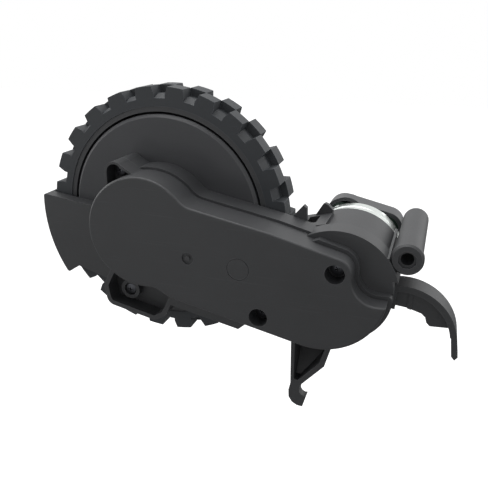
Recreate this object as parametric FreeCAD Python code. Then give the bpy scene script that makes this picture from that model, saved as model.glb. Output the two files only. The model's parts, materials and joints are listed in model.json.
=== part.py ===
import FreeCAD
import Part
import math
import os

# Robot vacuum wheel module: a swinging gearbox arm with a lugged drive wheel and its motor.
# Millimetres, +Z up, +Y along the wheel axis from the gearbox cover towards the motor.
# The origin is on the pivot axis, in the plane of the tyre's front face.

# Driving dimensions: wheel
TYRE_R = 35.0
TYRE_WIDTH = 10.3
TREAD_DEPTH = 2.1
LUG_COUNT = 24
LUG_TOP_DEG = 7.3
NOTCH_FLOOR_DEG = 5.4
SCOOP_DEPTH = 1.0
SCOOP_WIDTH = 3.1
FRONT_ROW_WIDTH = 5.0
SIDEWALL = 5.2
RIM_WALL = 1.4
RIM_WEB = 2.0
RIM_RECESS = 0.9
RIM_BORDER = 2.6
RIM_FRONT_Y = 0.2
RIM_BACK_INSET = 0.3
RIM_HUB_R = 6.0
RIM_HUB_LENGTH = 5.4
RIM_HUB_PROUD = 0.8
RIM_RIBS = 8
RIM_RIB_WIDTH = 2.2
RIM_RIB_HEIGHT = 1.2
WHEEL_SCREW_HEAD_R = 3.2
WHEEL_SCREW_HEAD = 1.8
WHEEL_SCREW_R = 1.2
WHEEL_SCREW_LENGTH = 8.0
WASHER_R = 4.6
WASHER_THICK = 0.6

# Driving dimensions: shaft and its bushes
SHAFT_R = 2.5
SHAFT_FLAT = 0.5
RUN_FIT = 0.05
BUSH_WALL = 1.5
FRONT_BUSH_LENGTH = 2.8
REAR_BUSH_LENGTH = 4.6
BUSH_HOUSING_WALL = 1.8
CLIP_THICK = 0.6
CLIP_R = 4.2
CLIP_GROOVE_R = 1.9
CLIP_MOUTH = 2.6

# Driving dimensions: gears, from the motor pinion to the output gear
PRESSURE_DEG = 20.0
ADDENDUM = 0.75
DEDENDUM = 0.95
BACKLASH = 0.08
PINION_TEETH = 12
FIRST_MODULE = 0.5
FIRST_WHEEL_TEETH = 32
FIRST_SMALL_TEETH = 11
SECOND_MODULE = 0.7
SECOND_WHEEL_TEETH = 26
SECOND_SMALL_TEETH = 11
THIRD_MODULE = 0.7
THIRD_WHEEL_TEETH = 22
THIRD_SMALL_TEETH = 11
OUTPUT_TEETH = 27
OUTPUT_MODULE = 0.9
# Direction of each step of the train, in degrees from +X towards +Z
STEP_TO_GEAR_1 = 168.9
STEP_TO_GEAR_2 = 166.9
STEP_TO_GEAR_3 = 183.7
STEP_TO_WHEEL = 153.2
# Face widths and the running gap between neighbouring layers
FIRST_FACE = 1.8
SECOND_FACE = 2.1
THIRD_FACE = 2.7
OUTPUT_FACE = 3.7
LAYER_GAP = 0.2
PIN_R = 1.0
PIN_SEAT = 1.5
PIN_BOSS_R = 2.2
GEAR_HUB_R = 1.6
OUTPUT_HUB_R = 5.0

# Driving dimensions: gearbox housing
COVER_FRONT_Y = -15.3
SEAM_Y = -6.7
FLOOR_BACK_Y = -0.5
FLOOR = 1.1
COVER_WALL = 1.5
BASE_STEP = 0.7
COVER_EDGE_R = 0.5
HUB_CLEARANCE = 0.575
HUB_END_DROP = 0.5
PIVOT_END_RIM = 3.15
BAY_R = 6.0
NECK_R = 8.0
SCREW_A_LOBE_R = 4.1
BAY_FOOT = 1.0
BAY_FOOT_Y = -10.6

# Driving dimensions: housing screws
SCREW_R = 1.1
SCREW_HEAD_R = 1.9
SCREW_HEAD = 1.3
SCREW_LENGTH = 7.0
HEAD_WELL_R = 2.45
HEAD_WELL_DEPTH = 5.0
SCREW_CLEARANCE = 0.2
SCREW_BOSS_R = 3.2
DRIVE_SLOT_R = 0.9
DRIVE_SLOT_WIDTH = 0.5
DRIVE_SLOT_DEPTH = 0.6
EAR_R = 2.8
EAR_WALL = 0.6
EAR_RIM_Y = -12.0
EAR_SEAT_Y = -7.6
DRUM_SCREW_HEAD_R = 1.7
DRUM_SCREW_R = 1.0
DRUM_SCREW_LENGTH = 8.6
MARK_R = 3.0
MARK_WIDTH = 0.3
MARK_DEPTH = 0.15
GATE_R = 1.6
GATE_NUB_R = 0.6
GATE_DEPTH = 0.45

# Driving dimensions: drum plate that closes the wheel's open side
DRUM_GAP = 0.6
DRUM_PLATE = 1.5
DRUM_SKIRT = 3.0
DRUM_SKIRT_WALL = 1.2
DRUM_EDGE = 0.8
DRUM_BOSS_R = 2.8
DRUM_BOSS_INSET = 0.16
DRUM_BOSS = 5.2

# Driving dimensions: motor and its cradle, placed from the pivot
CAN_TO_TUBE = 2.041
MOTOR_DEG = 210.708
TYRE_TO_CAN = 2.965
CAN_R = 13.65
CAN_LENGTH = 29.6
CAN_EDGE = 0.8
FLANGE_FRONT_Y = -8.5
FLANGE = 2.2
FLANGE_LIP = 0.55
CRADLE_BACK_Y = 14.1
CRADLE_WALL = 0.85
CAN_FIT = 0.1
CRADLE_RIB = 0.6
CRADLE_RIB_RISE = 0.8
CRADLE_RIB_DEG = 40.0
COLLAR_LIP = 1.3
COLLAR_DEPTH = 6.0
COLLAR_RISE = 4.0
MOTOR_NOSE_R = 3.4
MOTOR_NOSE = 2.1
MOTOR_SHAFT_R = 1.0
PINION_HUB_R = 1.9
MOTOR_SCREW_PCR = 6.9
MOTOR_SCREW_DEG = 275.0
MOTOR_SCREW_R = 1.0
MOTOR_SCREW_BITE = 2.6
END_BELL_R = 12.6
END_BELL = 0.9
BOARD = 1.0
BOARD_GAP = 0.1
CAP_TILT_DEG = -13.0
CAP_HALF_WIDTH = 11.3
CAP_TOP = 13.0
CAP_BOTTOM = 12.0
CAP_CORNER_R = 4.7
CAP_LENGTH = 6.4
CAP_WALL = 1.1
HOOD_RISE = 0.7
HOOD_SHIFT = 1.2
HOOD_LENGTH = 4.4
MAGNET_R = 4.0
MAGNET = 2.2

# Driving dimensions: pivot tube
TUBE_FRONT_Y = -8.0
TUBE_LENGTH = 33.4
TUBE_R = 3.5
TUBE_COLLAR_R = 3.95
TUBE_COLLAR = 1.8
TUBE_END_R = 1.0
TUBE_CHAMFER = 0.5
BORE_R = 1.6
RECESS_FLATS = 4.2
RECESS = 0.8
TUBE_WEB_TOP = -1.2
TUBE_WEB = 2.6
TUBE_WEB_BACK_Y = 10.0

# Driving dimensions: wheel guard, screw pocket, skirt
GUARD_GAP = 0.6
GUARD_WALL = 1.4
GUARD_RIM = 1.0
GUARD_CORNER_R = 0.7
GUARD_FRONT_Y = -4.0
GUARD_WRAP_Y = 2.0
GUARD_START_DEG = 173.6
GUARD_END_DEG = 212.8
GUARD_LIP = 4.6
POCKET_WALL = 1.3
POCKET_CORNER_R = 1.5
POCKET_SCREW_DEG = -114.5
POCKET_SCREW_RING_R = 2.9
POCKET_SCREW_SEAT = 1.0
SKIRT_PROUD = 2.2

# Driving dimensions: curved tab, spring leg and wire clips
TAB_R = 14.0
TAB_WALL = 1.6
TAB_FRONT_Y = -5.0
TAB_BACK_Y = 1.5
TAB_WEB = 1.4
TAB_RIB = 2.0
TAB_CENTRE_X = -0.4
TAB_CENTRE_Z = -22.0
FINGER_WIDTH = 1.7
FINGER_DROP = 6.8
LEG_FRONT_Y = -5.0
LEG_BACK_Y = 9.0
LEG_FOOT_DEPTH = 2.4
LEG_WALL = 1.2
LEDGE_THICK = 1.4
LEDGE_BACK_Y = 10.0
CLIP_FIN = 1.5


def step_from(base, distance, degrees):
    """Point at a distance and direction from another, in the XZ plane."""
    angle = math.radians(degrees)
    return (base[0] + distance * math.cos(angle), base[1] + distance * math.sin(angle))


def off(base, dx, dz):
    """Point moved by dx and dz."""
    return (base[0] + dx, base[1] + dz)


# Radii of the wheel's parts, inwards from the tread
BEAD_R = TYRE_R - SIDEWALL
DRUM_R = BEAD_R - RIM_WALL - DRUM_GAP
GUARD_R = TYRE_R + GUARD_GAP

# Centres of the train, each from the one before it. Its modules are drawn sizes, which
# TRAIN_SCALE fits to the distance that the tyre and the motor need between their axes.
PIVOT = (0.0, 0.0)
MOTOR = step_from(PIVOT, CAN_R + CAN_TO_TUBE + TUBE_R, MOTOR_DEG)


def train(scale):
    """Centres of the three compound gears and the wheel for a scale of the modules."""
    steps = ((FIRST_MODULE, PINION_TEETH + FIRST_WHEEL_TEETH, STEP_TO_GEAR_1),
             (SECOND_MODULE, FIRST_SMALL_TEETH + SECOND_WHEEL_TEETH, STEP_TO_GEAR_2),
             (THIRD_MODULE, SECOND_SMALL_TEETH + THIRD_WHEEL_TEETH, STEP_TO_GEAR_3),
             (OUTPUT_MODULE, THIRD_SMALL_TEETH + OUTPUT_TEETH, STEP_TO_WHEEL))
    centres = [MOTOR]
    for module, teeth, degrees in steps:
        centres.append(step_from(centres[-1], scale * module * teeth / 2, degrees))
    return centres[1:]


TRAIN_SCALE = (TYRE_R + CAN_R + TYRE_TO_CAN) / math.dist(MOTOR, train(1.0)[-1])
GEAR_1, GEAR_2, GEAR_3, WHEEL = train(TRAIN_SCALE)
HUB_END_R = TRAIN_SCALE * OUTPUT_MODULE * (OUTPUT_TEETH / 2 + ADDENDUM) + HUB_CLEARANCE + COVER_WALL

# Layers of the train, from the floor of the housing forwards
FLOOR_FRONT_Y = FLOOR_BACK_Y - FLOOR
OUTPUT_Y = FLOOR_FRONT_Y - 0.3 - OUTPUT_FACE
THIRD_Y = OUTPUT_Y - LAYER_GAP - THIRD_FACE
SECOND_Y = THIRD_Y - LAYER_GAP - SECOND_FACE
FIRST_Y = SECOND_Y - LAYER_GAP - FIRST_FACE
COVER_INSIDE_Y = COVER_FRONT_Y + COVER_WALL
MOTOR_FRONT_Y = FLANGE_FRONT_Y + FLANGE
FLANGE_R = CAN_R + FLANGE_LIP
COLLAR_R = FLANGE_R + COLLAR_LIP
PIVOT_END_R = CAN_R + PIVOT_END_RIM
CAN_BACK_Y = MOTOR_FRONT_Y + CAN_LENGTH
POCKET_SEAT_Y = FLOOR_FRONT_Y - POCKET_SCREW_SEAT


def on_wheel(dx, dz):
    """Point by the wheel's axis, drawn for a tyre of 35 mm radius and scaled with it."""
    return off(WHEEL, dx * TYRE_R / 35.0, dz * TYRE_R / 35.0)


def on_hub(dx, dz):
    """Point by the wheel's axis, drawn for a hub end of 14.9 mm radius and scaled with it."""
    return off(WHEEL, dx * HUB_END_R / 14.9, dz * HUB_END_R / 14.9)


def on_train(centre, dx, dz):
    """Point by one of the gears' axes, scaled with the train."""
    return off(centre, dx * TRAIN_SCALE, dz * TRAIN_SCALE)


def on_can(dx, dz):
    """Point by the motor's axis, drawn for a can of 13.65 mm radius and scaled with it."""
    return off(MOTOR, dx * CAN_R / 13.65, dz * CAN_R / 13.65)


# Screws and the arm's outline, from the centres that they go with
SCREW_A = off(MOTOR, 0.7, MOTOR_SCREW_PCR)
SCREW_B = on_train(GEAR_2, 5.3, -12.5)
GATE = on_train(GEAR_3, -2.0, 2.0)
EAR = on_hub(-8.0, 14.2)
POCKET_SCREW = step_from(WHEEL, DRUM_R - DRUM_BOSS_INSET - DRUM_BOSS_R, POCKET_SCREW_DEG)
HUB_END = off(WHEEL, 0.0, -HUB_END_DROP)
PIVOT_END = on_can(-3.4, 3.0)
BAY_Z = MOTOR[1] - 0.1


def vec(point, y):
    """3-D vector of an XZ point at a depth y."""
    return FreeCAD.Vector(point[0], y, point[1])


def cyl(centre, radius, y0, y1):
    """Cylinder along +Y."""
    return Part.makeCylinder(radius, y1 - y0, vec(centre, y0), FreeCAD.Vector(0, 1, 0))


def cone(centre, r0, r1, y0, y1):
    """Cone along +Y, from radius r0 at y0 to r1 at y1."""
    return Part.makeCone(r0, r1, y1 - y0, vec(centre, y0), FreeCAD.Vector(0, 1, 0))


def tube(centre, r_out, r_in, y0, y1):
    """Round tube along +Y."""
    return cyl(centre, r_out, y0, y1).cut(cyl(centre, r_in, y0, y1))


def flat(points):
    """Face of a closed polygon in the XZ plane at y = 0, facing towards +Y."""
    turn = sum(a[0] * b[1] - b[0] * a[1] for a, b in zip(points, points[1:] + points[:1]))
    corners = [vec(point, 0) for point in (points if turn < 0 else points[::-1])]
    return Part.Face(Part.makePolygon(corners + corners[:1]))


def disc(centre, radius):
    """Round face in the XZ plane at y = 0."""
    circle = Part.Circle(vec(centre, 0), FreeCAD.Vector(0, 1, 0), radius)
    return Part.Face(Part.Wire(circle.toShape()))


def slab(face, y0, y1):
    """Solid of a face in the XZ plane, from y0 to y1."""
    placed = face.copy()
    placed.translate(FreeCAD.Vector(0, y0, 0))
    return placed.extrude(FreeCAD.Vector(0, y1 - y0, 0))


def prism(points, y0, y1):
    """Solid of a polygon in the XZ plane, from y0 to y1."""
    return slab(flat(points), y0, y1)


def grown(face, distance):
    """Face with its edge moved out by a distance, or in where it is negative."""
    return face.makeOffset2D(distance, 0, False, False, False)


def inner_rounded(face, radius):
    """Face with its inward corners rounded to a radius."""
    return grown(grown(face, radius), -radius)


def one_face(faces):
    """Union of flat faces as one clean face."""
    joined = faces[0].multiFuse(faces[1:]).removeSplitter()
    return joined.Faces[0]


def save(name, shape):
    """Write one piece, as its one solid or as a group of separate solids."""
    solids = shape.removeSplitter().Solids
    kept = solids[0] if len(solids) == 1 else Part.makeCompound(solids)
    kept.exportStep(os.path.join("parts", name + ".step"))


def outer_edges(shape, y):
    """Outer edges of the largest flat face at a depth y."""
    face = max((f for f in shape.Faces if abs(f.BoundBox.YMax - y) < 1e-6
                and abs(f.BoundBox.YMin - y) < 1e-6), key=lambda f: f.Area)
    return face.OuterWire.Edges


def involute_half(radius, base_r, pitch_r, half_at_pitch):
    """Half the angle that a tooth spans at a radius."""
    at_pitch = math.acos(base_r / pitch_r)
    at_radius = math.acos(min(1.0, base_r / max(radius, base_r)))
    return (half_at_pitch + math.tan(at_pitch) - at_pitch
            - math.tan(at_radius) + at_radius)


def gear_face(centre, teeth, module, tooth_deg):
    """Spur gear outline with one tooth centred on a direction, for a drawn module."""
    module = module * TRAIN_SCALE
    pitch_r = teeth * module / 2
    base_r = pitch_r * math.cos(math.radians(PRESSURE_DEG))
    tip_r = pitch_r + ADDENDUM * module
    root_r = pitch_r - DEDENDUM * module
    start_r = max(base_r, root_r)
    half = (math.pi * module / 2 - BACKLASH) / (2 * pitch_r)
    radii = [root_r, start_r, (start_r + tip_r) / 2, tip_r]
    if start_r == root_r:
        radii = radii[1:]
    flank = [(r, math.degrees(involute_half(r, base_r, pitch_r, half))) for r in radii]
    points = []
    for tooth in range(teeth):
        middle = tooth_deg + 360.0 * tooth / teeth
        points += [step_from(centre, r, middle - a) for r, a in flank]
        points += [step_from(centre, r, middle + a) for r, a in reversed(flank)]
    return flat(points)


def meshing_tooth(first_tooth, first_teeth, direction, second_teeth):
    """Tooth direction of a gear that meshes with another across a line of centres."""
    phase = 180.0 - first_teeth * (direction - first_tooth)
    return direction + 180.0 - phase / second_teeth


# Wheel

def lug_row(first_deg, y0, y1):
    """One row of lugs with slanted flanks, as a solid disc."""
    pitch = 360.0 / LUG_COUNT
    floor_r = TYRE_R - TREAD_DEPTH
    edges = []
    for lug in range(LUG_COUNT):
        middle = first_deg + pitch * lug
        top = [step_from(WHEEL, TYRE_R, middle + k * LUG_TOP_DEG / 2) for k in (-1, 0, 1)]
        notch = middle + pitch / 2
        floor = [step_from(WHEEL, floor_r, notch + k * NOTCH_FLOOR_DEG / 2) for k in (-1, 0, 1)]
        after = step_from(WHEEL, TYRE_R, middle + pitch - LUG_TOP_DEG / 2)
        edges.append(Part.Arc(*[vec(p, 0) for p in top]).toShape())
        edges.append(Part.makeLine(vec(top[2], 0), vec(floor[0], 0)))
        edges.append(Part.Arc(*[vec(p, 0) for p in floor]).toShape())
        edges.append(Part.makeLine(vec(floor[2], 0), vec(after, 0)))
    return slab(Part.Face(Part.Wire(edges)), y0, y1)


def scoop(degrees):
    """Wedge that deepens a notch towards the tyre's front side."""
    angle = math.radians(degrees)
    across = FreeCAD.Vector(-math.sin(angle), 0, math.cos(angle)) * SCOOP_WIDTH
    floor_r = TYRE_R - TREAD_DEPTH
    corners = []
    for radius, y in ((floor_r - SCOOP_DEPTH, 0), (TYRE_R, 0), (TYRE_R, FRONT_ROW_WIDTH / 2),
                      (floor_r, FRONT_ROW_WIDTH / 2)):
        corners.append(vec(step_from(WHEEL, radius, degrees), y) - across / 2)
    return Part.Face(Part.makePolygon(corners + corners[:1])).extrude(across)


def make_tyre():
    """Rubber tyre with two rows of lugs, the second set half a pitch round."""
    pitch = 360.0 / LUG_COUNT
    front = lug_row(pitch / 2, 0, FRONT_ROW_WIDTH)
    front = front.cut(Part.makeCompound([scoop(pitch * n) for n in range(LUG_COUNT)]))
    back = lug_row(0, FRONT_ROW_WIDTH, TYRE_WIDTH)
    return front.fuse(back).cut(cyl(WHEEL, BEAD_R, 0, TYRE_WIDTH))


def shaft_profile(y0, y1, radius):
    """Shaft bar with its drive flat, also used to cut the holes that it drives."""
    bar = cyl(WHEEL, radius, y0, y1)
    low = off(WHEEL, -radius, radius - SHAFT_FLAT)
    high = off(WHEEL, radius, radius)
    flat_cut = prism([low, (high[0], low[1]), high, (low[0], high[1])], y0, y1)
    return bar.cut(flat_cut)


RIM_BACK_Y = TYRE_WIDTH - RIM_BACK_INSET
RIM_HUB_BACK_Y = RIM_BACK_Y + RIM_HUB_PROUD
SHAFT_FRONT_Y = COVER_INSIDE_Y + 0.4
OUTPUT_HUB_FRONT_Y = THIRD_Y - 1.2
CLIP_Y = OUTPUT_HUB_FRONT_Y - CLIP_THICK
BUSH_BACK_Y = FLOOR_FRONT_Y + REAR_BUSH_LENGTH


def make_rim():
    """Wheel rim: a cup with a ribbed back wall and a hub driven by the shaft's flat."""
    barrel_in = BEAD_R - RIM_WALL
    web_y = RIM_BACK_Y - RIM_WEB
    rim = cyl(WHEEL, BEAD_R, RIM_FRONT_Y, RIM_BACK_Y)
    rim = rim.cut(cyl(WHEEL, barrel_in, RIM_FRONT_Y, web_y))
    recess = tube(WHEEL, BEAD_R - RIM_BORDER, RIM_HUB_R + RIM_BORDER,
                  RIM_BACK_Y - RIM_RECESS, RIM_BACK_Y)
    ribs = [cyl(WHEEL, RIM_HUB_R, RIM_HUB_BACK_Y - RIM_HUB_LENGTH, RIM_HUB_BACK_Y)]
    for rib in range(RIM_RIBS):
        middle = 360.0 * rib / RIM_RIBS
        side = math.degrees(math.atan2(RIM_RIB_WIDTH / 2, RIM_HUB_R - 1))
        near = [step_from(WHEEL, RIM_HUB_R - 1, middle + k * side) for k in (-1, 1)]
        far_side = math.degrees(math.atan2(RIM_RIB_WIDTH / 2, barrel_in + RIM_WALL / 2))
        far = [step_from(WHEEL, barrel_in + RIM_WALL / 2, middle + k * far_side) for k in (1, -1)]
        ribs.append(prism(near + far, web_y - RIM_RIB_HEIGHT, RIM_BACK_Y))
    rim = rim.cut(recess)
    rim = rim.multiFuse(ribs)
    return rim.cut(shaft_profile(RIM_FRONT_Y, RIM_HUB_BACK_Y, SHAFT_R))


def make_shaft():
    """Wheel shaft: drive flat at both fitted ends, clip groove, tapped end."""
    flat_end_y = OUTPUT_Y + OUTPUT_FACE
    shaft = shaft_profile(CLIP_Y, flat_end_y, SHAFT_R)
    shaft = shaft.fuse(cyl(WHEEL, SHAFT_R, SHAFT_FRONT_Y, CLIP_Y))
    shaft = shaft.fuse(cyl(WHEEL, SHAFT_R, flat_end_y, BUSH_BACK_Y))
    shaft = shaft.fuse(shaft_profile(BUSH_BACK_Y, RIM_HUB_BACK_Y, SHAFT_R))
    shaft = shaft.cut(tube(WHEEL, SHAFT_R, CLIP_GROOVE_R, CLIP_Y, CLIP_Y + CLIP_THICK))
    tap_y = RIM_HUB_BACK_Y + WASHER_THICK - WHEEL_SCREW_LENGTH
    return shaft.cut(cyl(WHEEL, WHEEL_SCREW_R, tap_y, RIM_HUB_BACK_Y))


def make_clip():
    """Retaining clip that snaps into the shaft's groove."""
    clip = tube(WHEEL, CLIP_R, CLIP_GROOVE_R, CLIP_Y, CLIP_Y + CLIP_THICK)
    mouth = [off(WHEEL, -CLIP_MOUTH / 2, 0), off(WHEEL, CLIP_MOUTH / 2, 0),
             off(WHEEL, CLIP_MOUTH / 2, -CLIP_R), off(WHEEL, -CLIP_MOUTH / 2, -CLIP_R)]
    return clip.cut(prism(mouth, CLIP_Y, CLIP_Y + CLIP_THICK))


def screw(centre, seat_y, direction, head_r, head, shank_r, length):
    """Pan-head screw with a cross drive. Its shank runs from the seat along direction."""
    def along(a, b, radius):
        ends = sorted((seat_y + direction * a, seat_y + direction * b))
        return cyl(centre, radius, ends[0], ends[1])
    body = along(-head, 0, head_r).fuse(along(0, length, shank_r))
    half = DRIVE_SLOT_WIDTH / 2
    ends = sorted((seat_y - direction * head, seat_y - direction * (head - DRIVE_SLOT_DEPTH)))
    for wide, tall in ((DRIVE_SLOT_R, half), (half, DRIVE_SLOT_R)):
        corners = [off(centre, -wide, -tall), off(centre, wide, -tall),
                   off(centre, wide, tall), off(centre, -wide, tall)]
        body = body.cut(prism(corners, ends[0], ends[1]))
    return body


# Gears

GEAR_1_TOOTH = 0.0
PINION_TOOTH = meshing_tooth(GEAR_1_TOOTH, FIRST_WHEEL_TEETH, STEP_TO_GEAR_1 - 180.0,
                             PINION_TEETH)
GEAR_1_SMALL_TOOTH = 0.0
GEAR_2_TOOTH = meshing_tooth(GEAR_1_SMALL_TOOTH, FIRST_SMALL_TEETH, STEP_TO_GEAR_2,
                             SECOND_WHEEL_TEETH)
GEAR_2_SMALL_TOOTH = 0.0
GEAR_3_TOOTH = meshing_tooth(GEAR_2_SMALL_TOOTH, SECOND_SMALL_TEETH, STEP_TO_GEAR_3,
                             THIRD_WHEEL_TEETH)
GEAR_3_SMALL_TOOTH = 0.0
OUTPUT_TOOTH = meshing_tooth(GEAR_3_SMALL_TOOTH, THIRD_SMALL_TEETH, STEP_TO_WHEEL, OUTPUT_TEETH)


def compound_gear(centre, wheel, small, hub_front_y):
    """Large and small spur gear in one moulding, bored to run on its pin."""
    wheel_teeth, wheel_module, wheel_tooth, wheel_y, wheel_face = wheel
    small_teeth, small_module, small_tooth, small_y, small_face = small
    large = slab(gear_face(centre, wheel_teeth, wheel_module, wheel_tooth),
                 wheel_y, wheel_y + wheel_face)
    lesser = slab(gear_face(centre, small_teeth, small_module, small_tooth),
                  wheel_y + wheel_face, small_y + small_face)
    gear = large.fuse(lesser)
    if hub_front_y < wheel_y:
        gear = gear.fuse(cyl(centre, GEAR_HUB_R, hub_front_y, wheel_y))
    return gear.cut(cyl(centre, PIN_R + RUN_FIT, hub_front_y, small_y + small_face))


def make_output_gear():
    """Output gear on the wheel shaft, with a long hub up to the clip."""
    gear = slab(gear_face(WHEEL, OUTPUT_TEETH, OUTPUT_MODULE, OUTPUT_TOOTH),
                OUTPUT_Y, OUTPUT_Y + OUTPUT_FACE)
    gear = gear.fuse(cyl(WHEEL, OUTPUT_HUB_R, OUTPUT_HUB_FRONT_Y, OUTPUT_Y))
    return gear.cut(shaft_profile(OUTPUT_HUB_FRONT_Y, OUTPUT_Y + OUTPUT_FACE, SHAFT_R))


# Housing outline

def arm_outline():
    """Outline of the gearbox cover: hub end, straight arm, screw lobe and pivot end."""
    clip_half = 2 * PIVOT_END_R
    below_bay = flat([off(PIVOT_END, -clip_half, BAY_Z - PIVOT_END[1]),
                      off(PIVOT_END, clip_half, BAY_Z - PIVOT_END[1]),
                      off(PIVOT_END, clip_half, -clip_half),
                      off(PIVOT_END, -clip_half, -clip_half)])
    pivot_end = disc(PIVOT_END, PIVOT_END_R).common(below_bay).Faces[0]
    top_tilt = math.degrees(math.atan2(4.5, 17.3))
    lobe_top = step_from(SCREW_A, SCREW_A_LOBE_R, 90.0 - top_tilt)
    bottom_tilt = 11.7
    arm = flat([on_hub(2.0, 9.0), on_hub(13.5, 7.7), on_train(GEAR_2, 7.8, 10.4), lobe_top,
                off(SCREW_A, SCREW_A_LOBE_R, 0.0),
                (SCREW_A[0] + SCREW_A_LOBE_R, BAY_Z - 1.0),
                PIVOT_END, step_from(PIVOT_END, PIVOT_END_R, 270.0 - bottom_tilt),
                on_hub(7.3, -17.5), on_hub(2.6, -14.6), WHEEL])
    face = one_face([disc(HUB_END, HUB_END_R), arm, pivot_end, disc(SCREW_A, SCREW_A_LOBE_R)])
    return inner_rounded(face, BAY_R)


def ear_outline():
    """Outline of the small ear on the hub end, which holds a screw."""
    right = step_from(EAR, EAR_R, 48.0)
    return one_face([disc(EAR, EAR_R), flat([off(EAR, -EAR_R, 0), off(EAR, -EAR_R, -7.0),
                                             on_hub(-1.0, 10.0), on_hub(-3.2, 14.5), right])])


ARM = arm_outline()
EAR_FACE = ear_outline()
ARM_INSIDE = grown(ARM, -COVER_WALL)
ARM_AND_EAR = inner_rounded(one_face([ARM, EAR_FACE]), EAR_WALL * 2)
BASE = one_face([grown(ARM, BASE_STEP), ARM_AND_EAR])


def motor_seat(clearance):
    """Flange in front of the motor, with a larger collar over its upper side."""
    flange = cyl(MOTOR, FLANGE_R + clearance, FLANGE_FRONT_Y, MOTOR_FRONT_Y)
    radius = COLLAR_R + clearance
    back_y = FLANGE_FRONT_Y + COLLAR_DEPTH
    above = prism([off(MOTOR, -radius, COLLAR_RISE - clearance),
                   off(MOTOR, radius, COLLAR_RISE - clearance), off(MOTOR, radius, radius),
                   off(MOTOR, -radius, radius)], FLANGE_FRONT_Y, back_y)
    return flange.fuse(cyl(MOTOR, radius, FLANGE_FRONT_Y, back_y).common(above))


def head_well(centre, cover):
    """Counterbored screw boss inside the cover."""
    seat_y = COVER_FRONT_Y + HEAD_WELL_DEPTH
    cover = cover.fuse(cyl(centre, SCREW_BOSS_R, COVER_INSIDE_Y, SEAM_Y))
    cover = cover.cut(cyl(centre, HEAD_WELL_R, COVER_FRONT_Y, seat_y))
    return cover.cut(cyl(centre, SCREW_R + SCREW_CLEARANCE, seat_y, SEAM_Y))


def make_cover():
    """Outer gearbox cover: a rounded shell with bosses for the screws, pins and bush."""
    cover = slab(ARM, COVER_FRONT_Y, SEAM_Y)
    cover = cover.makeFillet(COVER_EDGE_R, outer_edges(cover, COVER_FRONT_Y))
    cover = cover.cut(slab(ARM_INSIDE, COVER_INSIDE_Y, SEAM_Y))
    bush_r = SHAFT_R + RUN_FIT + BUSH_WALL
    bush_back_y = COVER_INSIDE_Y + FRONT_BUSH_LENGTH
    bosses = [cyl(WHEEL, bush_r + BUSH_HOUSING_WALL, COVER_INSIDE_Y, bush_back_y)]
    bosses.append(cyl(GEAR_1, PIN_BOSS_R, COVER_INSIDE_Y, FIRST_Y - LAYER_GAP))
    bosses.append(cyl(GEAR_2, PIN_BOSS_R, COVER_INSIDE_Y, SECOND_Y - LAYER_GAP))
    bosses.append(cyl(GEAR_3, PIN_BOSS_R, COVER_INSIDE_Y, SECOND_Y - LAYER_GAP))
    cover = cover.multiFuse(bosses)
    cover = cover.cut(cyl(WHEEL, bush_r, COVER_INSIDE_Y, bush_back_y))
    for centre in (GEAR_1, GEAR_2, GEAR_3):
        cover = cover.cut(cyl(centre, PIN_R, PIN_FRONT_Y, SEAM_Y))
    ear = slab(ARM_AND_EAR, EAR_RIM_Y, SEAM_Y).cut(slab(ARM_INSIDE, EAR_RIM_Y, SEAM_Y))
    recess = slab(grown(EAR_FACE, -EAR_WALL), EAR_RIM_Y, EAR_SEAT_Y)
    ear = ear.cut(recess.cut(slab(ARM, EAR_RIM_Y, EAR_SEAT_Y)))
    cover = cover.fuse(ear.cut(cyl(EAR, DRUM_SCREW_R + SCREW_CLEARANCE, EAR_RIM_Y, SEAM_Y)))
    cover = cover.cut(tube(GEAR_2, MARK_R, MARK_R - MARK_WIDTH, COVER_FRONT_Y,
                           COVER_FRONT_Y + MARK_DEPTH))
    cover = cover.cut(tube(GATE, GATE_R, GATE_NUB_R, COVER_FRONT_Y, COVER_FRONT_Y + GATE_DEPTH))
    foot = slab(grown(ARM, BAY_FOOT), BAY_FOOT_Y, FLANGE_FRONT_Y)
    foot = foot.cut(slab(ARM_INSIDE, BAY_FOOT_Y, FLANGE_FRONT_Y))
    cover = cover.fuse(foot.common(cyl(MOTOR, FLANGE_R, BAY_FOOT_Y, FLANGE_FRONT_Y)))
    cover = head_well(SCREW_A, cover)
    cover = head_well(SCREW_B, cover)
    return cover.cut(motor_seat(CAN_FIT))


PIN_FRONT_Y = FIRST_Y - LAYER_GAP - PIN_SEAT


def pin_back(centre):
    """Depth at which each gear pin ends in the base."""
    return {GEAR_1: FLANGE_FRONT_Y + PIN_SEAT,
            GEAR_2: FLOOR_FRONT_Y - PIN_SEAT,
            GEAR_3: FLOOR_BACK_Y}[centre]


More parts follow.
